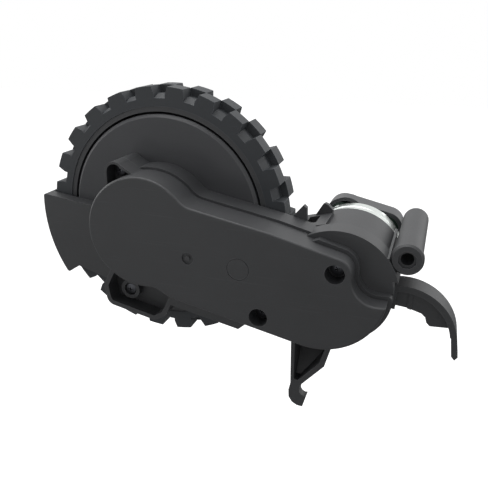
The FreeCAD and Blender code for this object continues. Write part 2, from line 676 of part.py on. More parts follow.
def guard():
    """Wheel guard in front of and round the tyre, hollow from behind."""
    outer_r = GUARD_R + GUARD_RIM
    start = step_from(WHEEL, outer_r, GUARD_START_DEG)
    end = step_from(WHEEL, outer_r, GUARD_END_DEG)
    middle = step_from(WHEEL, outer_r, (GUARD_START_DEG + GUARD_END_DEG) / 2)
    lip = step_from(WHEEL, outer_r - GUARD_LIP, GUARD_END_DEG)
    arc = Part.Arc(vec(start, 0), vec(middle, 0), vec(end, 0)).toShape()
    rest = [end, lip, on_wheel(-16.4, -20.4), on_wheel(-10.0, -10.0), on_wheel(-10.0, 0.3),
            start]
    lines = [Part.makeLine(vec(a, 0), vec(b, 0)) for a, b in zip(rest, rest[1:])]
    face = Part.Face(Part.Wire([arc] + lines))
    face = grown(grown(face, -GUARD_CORNER_R), GUARD_CORNER_R)
    shell = slab(face, GUARD_FRONT_Y, FLOOR_BACK_Y)
    shell = shell.cut(slab(grown(face, -GUARD_WALL), GUARD_FRONT_Y + GUARD_WALL, FLOOR_BACK_Y))
    wrap = slab(face, FLOOR_BACK_Y, GUARD_WRAP_Y)
    return shell.fuse(wrap.cut(cyl(WHEEL, GUARD_R, FLOOR_BACK_Y, GUARD_WRAP_Y)))


def pocket():
    """Open box below the hub end, over a screw that holds the drum plate."""
    inside = flat([on_wheel(-13.6, -16.6), on_wheel(-15.9, -21.0), on_wheel(-15.2, -25.6),
                   on_wheel(-1.6, -28.6), on_wheel(1.0, -27.0), on_wheel(4.4, -19.6),
                   on_wheel(4.4, -10.0), on_wheel(-10.0, -10.0)])
    inside = grown(grown(inside, -POCKET_CORNER_R), POCKET_CORNER_R)
    outside = grown(inside, POCKET_WALL)
    box = slab(outside, SEAM_Y, FLOOR_BACK_Y).cut(slab(inside, SEAM_Y, FLOOR_FRONT_Y))
    ring = cyl(POCKET_SCREW, POCKET_SCREW_RING_R, POCKET_SEAT_Y - SCREW_HEAD, FLOOR_FRONT_Y)
    well_r = DRUM_SCREW_HEAD_R + SCREW_CLEARANCE
    return box.fuse(ring.cut(cyl(POCKET_SCREW, well_r, POCKET_SEAT_Y - SCREW_HEAD, POCKET_SEAT_Y)))


def skirt():
    """Lower skirt that covers the tyre's side behind the arm."""
    start_deg = math.degrees(math.atan2(-28.6, 23.9))
    end_deg = math.degrees(math.atan2(-25.8, 26.8))
    skirt_r = TYRE_R + SKIRT_PROUD
    ends = [step_from(WHEEL, skirt_r, a) for a in (start_deg, (start_deg + end_deg) / 2, end_deg)]
    arc = Part.Arc(*[vec(p, 0) for p in ends]).toShape()
    rest = [ends[2], on_wheel(28.0, -18.0), on_wheel(6.0, -14.0), on_wheel(3.4, -24.2), ends[0]]
    lines = [Part.makeLine(vec(a, 0), vec(b, 0)) for a, b in zip(rest, rest[1:])]
    face = Part.Face(Part.Wire([arc] + lines))
    shell = slab(face, SEAM_Y, FLOOR_BACK_Y)
    return shell.cut(slab(grown(face, -GUARD_WALL), SEAM_Y + GUARD_WALL, FLOOR_BACK_Y))


def pivot_tube():
    """Pivot tube with its front collar and the web that ties it to the motor cradle."""
    back_y = TUBE_FRONT_Y + TUBE_LENGTH
    body = cyl(PIVOT, TUBE_R, TUBE_FRONT_Y, back_y)
    body = body.makeFillet(TUBE_END_R, outer_edges(body, back_y))
    collar = cyl(PIVOT, TUBE_COLLAR_R, TUBE_FRONT_Y, TUBE_FRONT_Y + TUBE_COLLAR)
    body = body.fuse(collar.makeChamfer(TUBE_CHAMFER, outer_edges(collar, TUBE_FRONT_Y)))
    web_left = MOTOR[0] + FLANGE_R - 4.0
    web = prism([(web_left, TUBE_WEB_TOP), (0, TUBE_WEB_TOP), (0, TUBE_WEB_TOP - TUBE_WEB),
                 (web_left, TUBE_WEB_TOP - TUBE_WEB)], SEAM_Y, TUBE_WEB_BACK_Y)
    return body.fuse(web)


def cradle_rib():
    """Thin rib along the motor cradle, beside the pivot tube."""
    top = step_from(MOTOR, CAN_R + CAN_FIT + CRADLE_WALL + CRADLE_RIB_RISE, CRADLE_RIB_DEG)
    return prism([top, off(top, CRADLE_RIB, 0), off(top, CRADLE_RIB, -2 * CRADLE_RIB_RISE),
                  off(top, 0, -2 * CRADLE_RIB_RISE)], FLANGE_FRONT_Y, CRADLE_BACK_Y)


def tube_openings():
    """Bore and eight-sided mouth of the pivot tube."""
    back_y = TUBE_FRONT_Y + TUBE_LENGTH
    corner_r = RECESS_FLATS / 2 / math.cos(math.radians(22.5))
    mouth = prism([step_from(PIVOT, corner_r, 22.5 + 45.0 * k) for k in range(8)],
                  TUBE_FRONT_Y, TUBE_FRONT_Y + RECESS)
    return cyl(PIVOT, BORE_R, TUBE_FRONT_Y, back_y).fuse(mouth)


def curved_tab():
    """Curved tab below the pivot tube: a bent wall, its web and rib, and a thin finger."""
    centre = (TAB_CENTRE_X, TAB_CENTRE_Z)
    wall = tube(centre, TAB_R, TAB_R - TAB_WALL, TAB_FRONT_Y, TAB_BACK_Y)
    keep = flat([off(centre, -3.6, 0), off(centre, 0, 0), off(centre, TAB_R + 1, 2.0),
                 off(centre, TAB_R + 1, TAB_R + 1), off(centre, -3.6, TAB_R + 1)])
    wall = wall.common(slab(keep, TAB_FRONT_Y, TAB_BACK_Y))
    web_y = TAB_FRONT_Y + 2.4
    web = prism([off(centre, -3.6, TAB_R - 1.2), off(centre, 0, TAB_R - 0.5),
                 off(centre, 7.0, TAB_R - 2.2), off(centre, 11.6, TAB_R - 7.0),
                 off(centre, TAB_R - 1.0, 3.2), off(centre, 7.2, 2.9), off(centre, 6.3, 3.8),
                 off(centre, 5.9, 5.2), off(centre, 4.9, 6.1), off(centre, 1.2, 7.2),
                 off(centre, -2.6, 7.6), off(centre, -3.6, 8.0)], web_y, web_y + TAB_WEB)
    rib = prism([off(centre, 1.3, 7.2), off(centre, 2.3, 6.9), off(centre, 2.6, TAB_R - 1.0),
                 off(centre, 1.6, TAB_R - 1.0)], TAB_FRONT_Y + TAB_RIB, web_y + TAB_WEB)
    top = off(centre, TAB_R - FINGER_WIDTH, 3.4)
    finger = prism([top, off(top, FINGER_WIDTH - 0.2, -0.6), off(top, FINGER_WIDTH + 0.7, -FINGER_DROP),
                    off(top, FINGER_WIDTH / 2 + 0.8, -FINGER_DROP - 1.0), off(top, 0.8, -FINGER_DROP)],
                   TAB_FRONT_Y, TAB_BACK_Y - 3.0)
    root = prism([off(centre, -5.0, TAB_R - 6.0), off(centre, -1.6, TAB_R - 6.6),
                  off(centre, -1.4, TAB_R - 0.2), off(centre, -1.6, TAB_R + 5.4),
                  off(centre, -5.0, TAB_R + 5.4)], TAB_FRONT_Y, TAB_BACK_Y)
    return wall.multiFuse([web, rib, finger, root])


def spring_leg():
    """Tapered channel leg below the arm, ending in the hook for the suspension spring."""
    top_z = -9.0
    outline = [on_can(-11.9, top_z), on_can(-11.6, -31.6), on_can(-8.8, -31.9),
               on_can(-2.4, -24.7), on_can(-1, -19.1), on_can(-0.3, top_z)]
    solid = prism(outline, LEG_FRONT_Y, LEG_BACK_Y)
    inside = [off(on_can(-11.9, top_z), LEG_WALL, 0.0),
              off(on_can(-11.9, -30.2), LEG_WALL, 0.0), on_can(-9.5, -30.4),
              on_can(-3.8, -24.0), on_can(-2.3, -18.8), on_can(-1.7, top_z)]
    foot_y = LEG_FRONT_Y + LEG_FOOT_DEPTH
    left, high_z = on_can(-12.9, -17.0)
    right, low_z = on_can(1.1, -31.9)
    slope = [(LEG_BACK_Y, high_z), (foot_y, low_z), (foot_y, low_z - 2.0),
             (LEG_BACK_Y + 1.0, low_z - 2.0), (LEG_BACK_Y + 1.0, high_z)]
    points = [FreeCAD.Vector(left, y, z) for y, z in slope]
    face = Part.Face(Part.makePolygon(points + points[:1]))
    wedge = face.extrude(FreeCAD.Vector(right - left, 0, 0))
    solid = solid.cut(wedge)
    hollow = prism(inside, LEG_FRONT_Y, LEG_BACK_Y)
    back = wedge.copy()
    back.translate(FreeCAD.Vector(0, -LEG_WALL, -LEG_WALL))
    solid = solid.cut(hollow.cut(back).common(
        prism(inside, LEG_FRONT_Y, LEG_BACK_Y - LEG_WALL)))
    hook = prism([on_can(-11.5, -31.2), on_can(-12.1, -34.0), on_can(-12, -36.2),
                  on_can(-11, -37.8), on_can(-9.5, -38.6), on_can(-8, -38.7),
                  on_can(-7, -35.1), on_can(-7.7, -35.2), on_can(-8.5, -34.8),
                  on_can(-9, -34.0), on_can(-8.8, -31.2)], LEG_FRONT_Y, foot_y)
    return solid.fuse(hook)


def wire_clips():
    """Ledge between the arm and the motor cradle, with two fins that guide the motor's wires."""
    ledge = prism([on_can(-12.6, 12.6), on_can(-4.6, 14.6), on_can(-4.6, 12.4),
                   on_can(-12.6, 11.2)], FLOOR_FRONT_Y, LEDGE_BACK_Y)
    hole = prism([on_can(-10.4, 16.0), on_can(-7.6, 16.0), on_can(-7.6, 9.0),
                  on_can(-10.4, 9.0)], 1.5, LEDGE_BACK_Y - 2.6)
    ledge = ledge.cut(hole)
    fin_1 = prism([on_can(-13.4, 12.0), on_can(-13.4, 15.4), on_can(-10.6, 18.7),
                   on_can(-9.8, 18.0), on_can(-9.6, 12.4)],
                  FLOOR_BACK_Y, FLOOR_BACK_Y + CLIP_FIN)
    fin_2 = prism([on_can(-9.4, 12.4), on_can(-9.2, 13.6), on_can(-7.4, 16.6),
                   on_can(-6.7, 17.0), on_can(-6.0, 16.7), on_can(-4.6, 15.4),
                   on_can(-4.6, 13.0)],
                  LEDGE_BACK_Y - CLIP_FIN, LEDGE_BACK_Y)
    return ledge.multiFuse([fin_1, fin_2])


def make_base():
    """Inner half of the housing in one moulding, with everything that it carries."""
    body = slab(BASE, SEAM_Y, FLOOR_BACK_Y)
    cradle = cone(MOTOR, FLANGE_R, CAN_R + CAN_FIT + CRADLE_WALL, MOTOR_FRONT_Y, CRADLE_BACK_Y)
    body = body.multiFuse([guard(), pocket(), skirt()])
    body = body.cut(slab(ARM_INSIDE, SEAM_Y, FLOOR_FRONT_Y))
    body = body.multiFuse([motor_seat(0.0), cradle, curved_tab(), spring_leg(), wire_clips(),
                           pivot_tube(), cradle_rib()])
    body = body.cut(cyl(MOTOR, CAN_R + CAN_FIT, MOTOR_FRONT_Y, CRADLE_BACK_Y + 1.0))
    body = body.cut(tube_openings())
    bush_r = SHAFT_R + RUN_FIT + BUSH_WALL
    bosses = [cyl(WHEEL, bush_r + BUSH_HOUSING_WALL, FLOOR_FRONT_Y, BUSH_BACK_Y),
              cyl(GEAR_2, PIN_BOSS_R, OUTPUT_Y - 0.1, FLOOR_FRONT_Y),
              cyl(SCREW_B, SCREW_BOSS_R, SEAM_Y, FLOOR_FRONT_Y)]
    body = body.multiFuse(bosses)
    body = body.cut(cyl(WHEEL, bush_r, FLOOR_FRONT_Y, BUSH_BACK_Y))
    for centre in (GEAR_1, GEAR_2, GEAR_3):
        body = body.cut(cyl(centre, PIN_R, PIN_FRONT_Y, pin_back(centre)))
    seat_y = COVER_FRONT_Y + HEAD_WELL_DEPTH
    body = body.cut(cyl(SCREW_B, SCREW_R, SEAM_Y, seat_y + SCREW_LENGTH))
    body = body.cut(cyl(SCREW_A, SCREW_R + SCREW_CLEARANCE, FLANGE_FRONT_Y, MOTOR_FRONT_Y))
    motor_screw = step_from(MOTOR, MOTOR_SCREW_PCR, MOTOR_SCREW_DEG)
    body = body.cut(cyl(motor_screw, MOTOR_SCREW_R + SCREW_CLEARANCE, FLANGE_FRONT_Y,
                        MOTOR_FRONT_Y))
    body = body.cut(cyl(MOTOR, MOTOR_NOSE_R + CAN_FIT, FLANGE_FRONT_Y, MOTOR_FRONT_Y))
    for centre in (EAR, POCKET_SCREW):
        body = body.cut(cyl(centre, DRUM_SCREW_R + SCREW_CLEARANCE, SEAM_Y, FLOOR_BACK_Y))
    return body


def make_drum_plate():
    """Round plate that closes the wheel's open side, fixed to the base by two screws."""
    back_y = FLOOR_BACK_Y + DRUM_PLATE
    plate = cyl(WHEEL, DRUM_R, FLOOR_BACK_Y, back_y)
    plate = plate.makeChamfer(DRUM_EDGE, outer_edges(plate, FLOOR_BACK_Y))
    plate = plate.fuse(tube(WHEEL, DRUM_R, DRUM_R - DRUM_SKIRT_WALL, back_y, back_y + DRUM_SKIRT))
    for centre in (EAR, POCKET_SCREW):
        plate = plate.fuse(cyl(centre, DRUM_BOSS_R, FLOOR_BACK_Y, FLOOR_BACK_Y + DRUM_BOSS))
    for centre, seat_y in ((EAR, EAR_SEAT_Y), (POCKET_SCREW, POCKET_SEAT_Y)):
        plate = plate.cut(cyl(centre, DRUM_SCREW_R, FLOOR_BACK_Y, seat_y + DRUM_SCREW_LENGTH))
    hole_r = SHAFT_R + RUN_FIT + BUSH_WALL + BUSH_HOUSING_WALL + CAN_FIT
    return plate.cut(cyl(WHEEL, hole_r, FLOOR_BACK_Y, back_y + DRUM_SKIRT))


# Motor

def make_can():
    """Closed steel motor can with its bearing nose, shaft passage and two screw holes."""
    can = cyl(MOTOR, CAN_R, MOTOR_FRONT_Y, CAN_BACK_Y)
    can = can.makeChamfer(CAN_EDGE, outer_edges(can, MOTOR_FRONT_Y))
    can = can.fuse(cyl(MOTOR, MOTOR_NOSE_R, MOTOR_FRONT_Y - MOTOR_NOSE, MOTOR_FRONT_Y))
    can = can.cut(cyl(MOTOR, MOTOR_SHAFT_R + RUN_FIT, MOTOR_FRONT_Y - MOTOR_NOSE, CAN_BACK_Y))
    seat_y = COVER_FRONT_Y + HEAD_WELL_DEPTH
    can = can.cut(cyl(SCREW_A, SCREW_R, MOTOR_FRONT_Y, seat_y + SCREW_LENGTH))
    motor_screw = step_from(MOTOR, MOTOR_SCREW_PCR, MOTOR_SCREW_DEG)
    return can.cut(cyl(motor_screw, MOTOR_SCREW_R, MOTOR_FRONT_Y, MOTOR_FRONT_Y + MOTOR_SCREW_BITE))


BELL_BACK_Y = CAN_BACK_Y + END_BELL
BOARD_BACK_Y = BELL_BACK_Y + BOARD
CAP_BACK_Y = BELL_BACK_Y + CAP_LENGTH
MAGNET_Y = BOARD_BACK_Y + 0.5


def cap_face(inset):
    """Rounded box outline of the rear cap, tilted with the arm."""
    along = math.radians(CAP_TILT_DEG)
    half = CAP_HALF_WIDTH - CAP_CORNER_R
    tops = (CAP_TOP - CAP_CORNER_R, CAP_CORNER_R - CAP_BOTTOM)
    radius = CAP_CORNER_R - inset
    centres = [off(MOTOR, x * math.cos(along) - z * math.sin(along),
                   x * math.sin(along) + z * math.cos(along))
               for x, z in ((-half, tops[0]), (half, tops[0]), (half, tops[1]), (-half, tops[1]))]
    edges = []
    for number, centre in enumerate(centres):
        first = CAP_TILT_DEG + 180.0 - 90.0 * number
        bow = [vec(step_from(centre, radius, first - k), 0) for k in (0.0, 45.0, 90.0)]
        after = centres[(number + 1) % 4]
        edges.append(Part.Arc(*bow).toShape())
        edges.append(Part.makeLine(bow[2], vec(step_from(after, radius, first - 90.0), 0)))
    return Part.Face(Part.Wire(edges)), centres[0]


def make_rear_cap():
    """Dark cap over the motor's tail, open towards the motor, with a hood for its wires."""
    outline, corner = cap_face(0.0)
    inside, corner = cap_face(CAP_WALL)
    corner = step_from(corner, HOOD_SHIFT, CAP_TILT_DEG)
    hood_back_y = BELL_BACK_Y + HOOD_LENGTH
    hood_r = CAP_CORNER_R + HOOD_RISE
    cap = slab(outline, BELL_BACK_Y, CAP_BACK_Y)
    cap = cap.fuse(cyl(corner, hood_r, BELL_BACK_Y, hood_back_y))
    cap = cap.cut(slab(inside, BELL_BACK_Y, CAP_BACK_Y - CAP_WALL))
    return cap.cut(cyl(corner, hood_r - CAP_WALL, BELL_BACK_Y, hood_back_y - CAP_WALL))


def make_sensor_board():
    """Sensor board inside the rear cap, with a hole for the shaft."""
    outline, corner = cap_face(CAP_WALL + BOARD_GAP)
    board = slab(outline, BELL_BACK_Y, BOARD_BACK_Y)
    return board.cut(cyl(MOTOR, MOTOR_SHAFT_R + 1.0, BELL_BACK_Y, BOARD_BACK_Y))


def main():
    """Build and write every piece."""
    os.makedirs("parts", exist_ok=True)
    save("tyre", make_tyre())
    save("wheel_rim", make_rim())
    save("wheel_shaft", make_shaft())
    save("shaft_clip", make_clip())
    washer_y = RIM_HUB_BACK_Y
    save("wheel_washer", tube(WHEEL, WASHER_R, WHEEL_SCREW_R, washer_y, washer_y + WASHER_THICK))
    save("wheel_screw", screw(WHEEL, washer_y + WASHER_THICK, -1, WHEEL_SCREW_HEAD_R,
                              WHEEL_SCREW_HEAD, WHEEL_SCREW_R, WHEEL_SCREW_LENGTH))
    save("output_gear", make_output_gear())
    save("compound_gear_1", compound_gear(
        GEAR_1, (FIRST_WHEEL_TEETH, FIRST_MODULE, GEAR_1_TOOTH, FIRST_Y, FIRST_FACE),
        (FIRST_SMALL_TEETH, SECOND_MODULE, GEAR_1_SMALL_TOOTH, SECOND_Y, SECOND_FACE), FIRST_Y))
    save("compound_gear_2", compound_gear(
        GEAR_2, (SECOND_WHEEL_TEETH, SECOND_MODULE, GEAR_2_TOOTH, SECOND_Y, SECOND_FACE),
        (SECOND_SMALL_TEETH, THIRD_MODULE, GEAR_2_SMALL_TOOTH, THIRD_Y, THIRD_FACE), SECOND_Y))
    save("compound_gear_3", compound_gear(
        GEAR_3, (THIRD_WHEEL_TEETH, THIRD_MODULE, GEAR_3_TOOTH, THIRD_Y, THIRD_FACE),
        (THIRD_SMALL_TEETH, OUTPUT_MODULE, GEAR_3_SMALL_TOOTH, OUTPUT_Y, OUTPUT_FACE),
        SECOND_Y))
    for number, centre in enumerate((GEAR_1, GEAR_2, GEAR_3), 1):
        save("gear_pin_%d" % number, cyl(centre, PIN_R, PIN_FRONT_Y, pin_back(centre)))
    bore = SHAFT_R + RUN_FIT
    save("front_bush", tube(WHEEL, bore + BUSH_WALL, bore, COVER_INSIDE_Y,
                            COVER_INSIDE_Y + FRONT_BUSH_LENGTH))
    save("rear_bush", tube(WHEEL, bore + BUSH_WALL, bore, FLOOR_FRONT_Y, BUSH_BACK_Y))
    save("gearbox_cover", make_cover())
    save("gearbox_base", make_base())
    save("drum_plate", make_drum_plate())
    seat_y = COVER_FRONT_Y + HEAD_WELL_DEPTH
    size = (SCREW_HEAD_R, SCREW_HEAD, SCREW_R, SCREW_LENGTH)
    save("cover_screws", Part.makeCompound([screw(SCREW_A, seat_y, 1, *size),
                                            screw(SCREW_B, seat_y, 1, *size)]))
    size = (DRUM_SCREW_HEAD_R, SCREW_HEAD, DRUM_SCREW_R, DRUM_SCREW_LENGTH)
    save("drum_screws", Part.makeCompound([screw(EAR, EAR_SEAT_Y, 1, *size),
                                           screw(POCKET_SCREW, POCKET_SEAT_Y, 1, *size)]))
    motor_screw = step_from(MOTOR, MOTOR_SCREW_PCR, MOTOR_SCREW_DEG)
    save("motor_screw", screw(motor_screw, FLANGE_FRONT_Y, 1, SCREW_HEAD_R, SCREW_HEAD / 2,
                              MOTOR_SCREW_R, FLANGE + MOTOR_SCREW_BITE))
    save("motor_can", make_can())
    shaft_y = FIRST_Y - LAYER_GAP
    save("motor_end_bell", tube(MOTOR, END_BELL_R, MOTOR_SHAFT_R + RUN_FIT, CAN_BACK_Y,
                                BELL_BACK_Y))
    save("sensor_board", make_sensor_board())
    save("motor_rear_cap", make_rear_cap())
    save("motor_shaft", cyl(MOTOR, MOTOR_SHAFT_R, shaft_y, MAGNET_Y + MAGNET))
    save("encoder_magnet", tube(MOTOR, MAGNET_R, MOTOR_SHAFT_R, MAGNET_Y, MAGNET_Y + MAGNET))
    pinion = slab(gear_face(MOTOR, PINION_TEETH, FIRST_MODULE, PINION_TOOTH),
                  shaft_y, FIRST_Y + FIRST_FACE)
    pinion = pinion.fuse(cyl(MOTOR, PINION_HUB_R, FIRST_Y + FIRST_FACE, FLANGE_FRONT_Y - 0.5))
    save("motor_pinion", pinion.cut(cyl(MOTOR, MOTOR_SHAFT_R, shaft_y, FLANGE_FRONT_Y)))
    print("wheel", WHEEL, "gear 1", GEAR_1, "gear 2", GEAR_2, "gear 3", GEAR_3)


main()
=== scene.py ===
"""Robot vacuum wheel module: the looks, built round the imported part.

Lengths are in millimetres in the classes and become metres where a mesh is made.
"""

import json
import logging
import math
from collections.abc import Callable
from dataclasses import dataclass
from enum import Enum

import bpy
from mathutils import Matrix, Vector


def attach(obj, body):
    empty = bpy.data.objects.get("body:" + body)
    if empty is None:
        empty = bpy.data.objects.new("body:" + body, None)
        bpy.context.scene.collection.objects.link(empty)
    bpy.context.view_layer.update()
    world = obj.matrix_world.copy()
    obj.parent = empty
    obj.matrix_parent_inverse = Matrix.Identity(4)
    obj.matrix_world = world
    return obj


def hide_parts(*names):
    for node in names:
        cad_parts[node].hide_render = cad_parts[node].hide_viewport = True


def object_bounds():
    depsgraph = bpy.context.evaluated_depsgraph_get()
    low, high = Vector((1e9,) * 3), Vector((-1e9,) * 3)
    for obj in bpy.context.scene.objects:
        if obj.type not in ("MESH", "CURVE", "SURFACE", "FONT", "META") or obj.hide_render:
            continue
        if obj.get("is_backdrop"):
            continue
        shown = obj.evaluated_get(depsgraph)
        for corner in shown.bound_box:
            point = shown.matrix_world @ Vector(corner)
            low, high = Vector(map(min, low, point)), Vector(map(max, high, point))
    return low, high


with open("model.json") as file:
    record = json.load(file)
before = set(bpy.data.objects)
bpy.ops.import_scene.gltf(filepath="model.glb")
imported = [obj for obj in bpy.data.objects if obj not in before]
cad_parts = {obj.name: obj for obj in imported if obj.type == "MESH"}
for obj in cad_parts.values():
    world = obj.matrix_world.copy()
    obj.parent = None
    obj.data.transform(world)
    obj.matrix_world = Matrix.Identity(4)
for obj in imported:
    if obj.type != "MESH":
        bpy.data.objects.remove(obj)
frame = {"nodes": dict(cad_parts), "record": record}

log = logging.getLogger("wheel_module")

MM = 0.001
WHITE = (1.0, 1.0, 1.0, 1.0)
# Part of a normal along an axis above which its face looks that way, or is square to it.
FACING = 0.9
SQUARE = 0.99
# Span that holds nearly all values of a noise texture.
NOISE_SPAN = (0.3, 0.7)
# Spans from none to all of: a scuff line, the turn of a rounded edge, an outer edge, a patch of
# the painted edge highlight.
SCUFF_SPAN = (0.62, 0.76)
TURN_SPAN = (0.998, 0.93)
PROUD_SPAN = (0.5, 0.55)
PATCH_SPAN = (0.2, 0.6)


class Pattern(Enum):
    """How the surface of a finish was made."""

    MOULDED = "moulded"
    RUBBER = "rubber"
    DRAWN = "drawn"
    TURNED = "turned"
    BOARD = "board"


# How the grain is drawn out along X, Y and Z: long along the draw, or in rings round the axis.
STRETCH = {Pattern.DRAWN: (1.0, 0.06, 1.0), Pattern.TURNED: (0.5, 3.0, 0.5)}
# The wave texture's own factor between its scale and the bands that it draws.
WAVE_RATE = 20.0


class Body(Enum):
    """Rigid bodies of the module that carry pieces of the scene."""

    GEARBOX = "gearbox"
    WHEEL = "wheel"


def linear(colour: str) -> tuple[float, float, float, float]:
    """Turn an sRGB hex colour into linear light.

    Args:
        colour: Six hex digits after a hash sign.

    Returns:
        Linear red, green, blue and an alpha of one.
    """
    parts = [int(colour[i : i + 2], 16) / 255 for i in (1, 3, 5)]
    lit = [p / 12.92 if p <= 0.04045 else ((p + 0.055) / 1.055) ** 2.4 for p in parts]
    return (lit[0], lit[1], lit[2], 1.0)


def add_node(
    tree: bpy.types.NodeTree,
    kind: str,
    settings: dict[str, object] | None = None,
    links: dict[str | int, bpy.types.NodeSocket] | None = None,
) -> bpy.types.Node:
    """Add one shader node with its settings and its incoming links.

    Args:
        tree: Node tree of the material or world.
        kind: Blender's name of the node type.
        settings: Attribute or input names with the values that they take.
        links: Input names or numbers with the sockets that feed them.

    Returns:
        The new node.
    """
    node = tree.nodes.new(kind)
    for name, value in (settings or {}).items():
        if isinstance(name, str) and hasattr(node, name):
            setattr(node, name, value)
        else:
            node.inputs[name].default_value = value
    for name, source in (links or {}).items():
        tree.links.new(source, node.inputs[name])
    return node


@dataclass(frozen=True)
class Finish:
    """One real finish, with the colours and grain that a material is made from."""

    name: str
    slot: str
    pattern: Pattern
    colour: str
    shade: str
    roughness: float
    spread: float = 0.06
    metallic: float = 0.0
    ior: float = 1.5
    grain_mm: float = 0.5
    relief_mm: float = 0.02
    # Lighter colour of scuff wear, also painted along the outer edges as a highlight; none if
    # empty.
    wear_and_highlight: str = ""
    edge_mm: float = 0.25
    cloud_mm: float = 14.0
    grain_share: float = 0.45
    pit_share: float = 0.4
    speckle_share: float = 0.7
    bump: float = 0.6
    scuff_mm: float = 0.5
    scuff_stretch: float = 0.035
    scuff_turn_deg: float = -14.0
    scuff_share: float = 0.12

    def material(self) -> bpy.types.Material:
        """Find this finish's material, or make it the first time.

        Returns:
            The material.
        """
        known = bpy.data.materials.get(self.name)
        if known is not None:
            return known
        made = bpy.data.materials.new(self.name)
        made.use_nodes = True
        tree = made.node_tree
        tree.nodes.clear()
        place = add_node(tree, "ShaderNodeTexCoord").outputs["Object"]
        grain = self.grain(tree, place)
        cloud = add_node(
            tree,
            "ShaderNodeTexNoise",
            {"Scale": 1.0 / (self.cloud_mm * MM), "Detail": 2.0, "Roughness": 0.5},
            {"Vector": place},
        ).outputs["Fac"]
        mixed = add_node(
            tree,
            "ShaderNodeMath",
            {"operation": "MULTIPLY_ADD", 1: self.grain_share},
            {0: grain, 2: self.weighted(tree, cloud, 1.0 - self.grain_share)},
        ).outputs[0]
        colour = add_node(
            tree,
            "ShaderNodeMix",
            {"data_type": "RGBA", 6: linear(self.shade), 7: linear(self.colour)},
            {0: self.ramped(tree, mixed, NOISE_SPAN)},
        ).outputs[2]
        # Scuff wear first, then a painted highlight along the outer edges, both in the lighter
        # colour of wear.
        if self.wear_and_highlight:
            colour = self.tinted(tree, colour, self.scuffs(tree, place))
            colour = self.tinted(tree, colour, self.edges(tree, cloud))
        dull = (self.roughness - self.spread, self.roughness + self.spread)
        bump = add_node(
            tree,
            "ShaderNodeBump",
            {"Strength": self.bump, "Distance": self.relief_mm * MM},
            {"Height": grain},
        ).outputs["Normal"]
        settings: dict[str, object] = {"Metallic": self.metallic}
        if not self.metallic:
            settings["IOR"] = self.ior
        shader = add_node(
            tree,
            "ShaderNodeBsdfPrincipled",
            settings,
            {
                "Base Color": colour,
                "Roughness": self.ramped(tree, mixed, NOISE_SPAN, dull),
                "Normal": bump,
            },
        )
        add_node(
            tree,
            "ShaderNodeOutputMaterial",
            links={"Surface": shader.outputs["BSDF"]},
        )
        return made

    def grain(
        self, tree: bpy.types.NodeTree, place: bpy.types.NodeSocket
    ) -> bpy.types.NodeSocket:
        """Make the fine relief for the way the surface was made.

        Args:
            tree: Node tree of the material.
            place: Object coordinates.

        Returns:
            Height of the relief, from nought to one.
        """
        stretch = STRETCH.get(self.pattern, (1.0, 1.0, 1.0))
        placed = add_node(
            tree, "ShaderNodeMapping", {"Scale": stretch}, {"Vector": place}
        ).outputs["Vector"]
        fine = 1.0 / (self.grain_mm * MM)
        speckle = add_node(
            tree,
            "ShaderNodeTexNoise",
            {"Scale": fine, "Detail": 3.0, "Roughness": 0.6},
            {"Vector": placed},
        ).outputs["Fac"]
        if self.pattern is Pattern.MOULDED:
            pits = add_node(
                tree, "ShaderNodeTexVoronoi", {"feature": "F1", "Scale": fine}, {"Vector": placed}
            ).outputs["Distance"]
            return add_node(
                tree,
                "ShaderNodeMath",
                {"operation": "MULTIPLY_ADD", 1: self.pit_share},
                {0: pits, 2: self.weighted(tree, speckle, self.speckle_share)},
            ).outputs[0]
        if self.pattern is Pattern.BOARD:
            threads = [
                add_node(
                    tree,
                    "ShaderNodeTexWave",
                    {"bands_direction": way, "Scale": fine / WAVE_RATE, "Distortion": 0.4},
                    {"Vector": placed},
                ).outputs["Fac"]
                for way in ("X", "Z")
            ]
            return add_node(
                tree,
                "ShaderNodeMath",
                {"operation": "MULTIPLY_ADD", 1: 0.5},
                {0: threads[0], 2: self.weighted(tree, threads[1], 0.5)},
            ).outputs[0]
        return speckle

    def weighted(
        self, tree: bpy.types.NodeTree, value: bpy.types.NodeSocket, share: float
    ) -> bpy.types.NodeSocket:
        """Multiply a value by a share.

        Args:
            tree: Node tree of the material.
            value: Value to weigh.
            share: Factor that it is multiplied by.

        Returns:
            The weighed value.
        """
        return add_node(
            tree, "ShaderNodeMath", {"operation": "MULTIPLY", 1: share}, {0: value}
        ).outputs[0]

    def ramped(
        self,
        tree: bpy.types.NodeTree,
        value: bpy.types.NodeSocket,
        span: tuple[float, float],
        onto: tuple[float, float] = (0.0, 1.0),
    ) -> bpy.types.NodeSocket:
        """Map a value from one span onto another, and stop it at their ends.

        Args:
            tree: Node tree of the material.
            value: Value to map.
            span: Span that it comes in.
            onto: Span that it leaves in.

        Returns:
            The mapped value.
        """
        return add_node(
            tree,
            "ShaderNodeMapRange",
            {"From Min": span[0], "From Max": span[1], "To Min": onto[0], "To Max": onto[1]},
            {"Value": value},
        ).outputs["Result"]

    def tinted(
        self,
        tree: bpy.types.NodeTree,
        colour: bpy.types.NodeSocket,
        share: bpy.types.NodeSocket,
    ) -> bpy.types.NodeSocket:
        """Turn a colour towards the lighter colour of wear and painted highlight.

        Args:
            tree: Node tree of the material.
            colour: Colour of the fresh surface.
            share: Share of the colour of wear and painted highlight.

        Returns:
            The mixed colour.
        """
        return add_node(
            tree,
            "ShaderNodeMix",
            {"data_type": "RGBA", 7: linear(self.wear_and_highlight)},
            {0: share, 6: colour},
        ).outputs[2]

